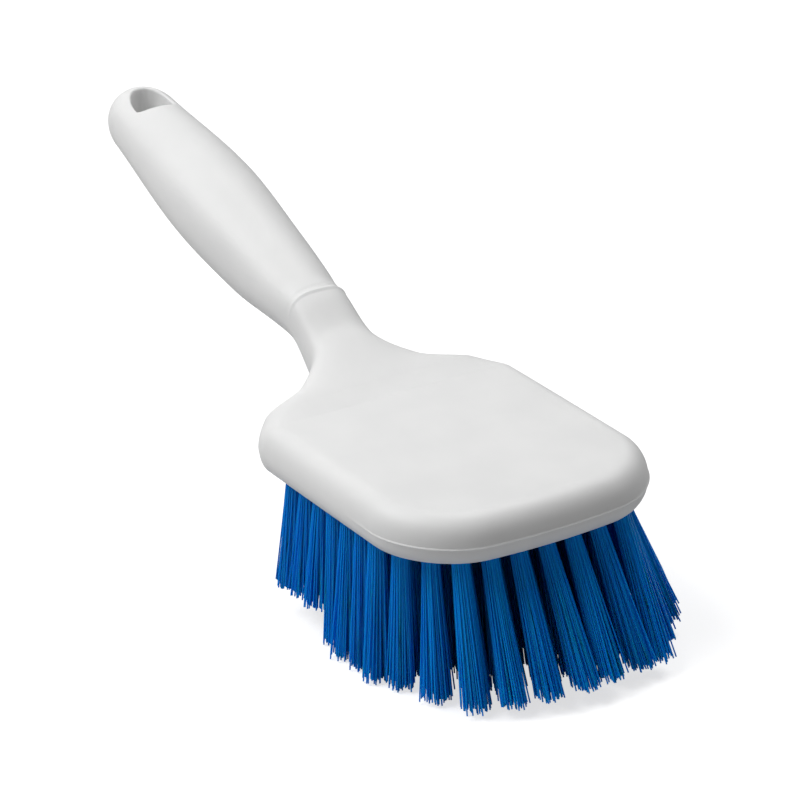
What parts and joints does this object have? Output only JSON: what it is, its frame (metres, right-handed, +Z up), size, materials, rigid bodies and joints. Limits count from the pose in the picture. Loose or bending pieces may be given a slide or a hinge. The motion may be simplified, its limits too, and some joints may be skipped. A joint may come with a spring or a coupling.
{
  "type": "scrubbing brush",
  "caption": "Short-handled hand scrubbing brush: a rounded rectangular moulded head, a rising tapered grip with a hanging hole, and blue bristle tufts that lean forward at the front.",
  "frame": {"origin": "centre of the bounding box in plan, on the plane of the bristle tips that the brush stands on", "axes": "+X from the handle towards the front of the head, +Y to the left across the head, +Z up from the bristle tips to the back of the head"},
  "size_m": [0.289, 0.116, 0.123],
  "materials": {
    "moulded_plastic": "satin white polypropylene with a fine moulded grain",
    "filament": "blue drawn filament with a soft sheen",
    "anchor_wire": "flat rolled stainless wire"
  },
  "bodies": {
    "root": {"block_and_handle": "moulded_plastic", "tuft_row_1": "filament", "tuft_row_2": "filament", "tuft_row_3": "filament", "tuft_row_4": "filament", "tuft_row_5": "filament", "tuft_row_6": "filament", "tuft_row_7": "filament", "tuft_row_8": "filament", "tuft_row_9": "filament", "tuft_row_10": "filament", "anchor_row_1": "anchor_wire", "anchor_row_2": "anchor_wire", "anchor_row_3": "anchor_wire", "anchor_row_4": "anchor_wire", "anchor_row_5": "anchor_wire", "anchor_row_6": "anchor_wire", "anchor_row_7": "anchor_wire", "anchor_row_8": "anchor_wire", "anchor_row_9": "anchor_wire", "anchor_row_10": "anchor_wire"}
  },
  "joints": []
}
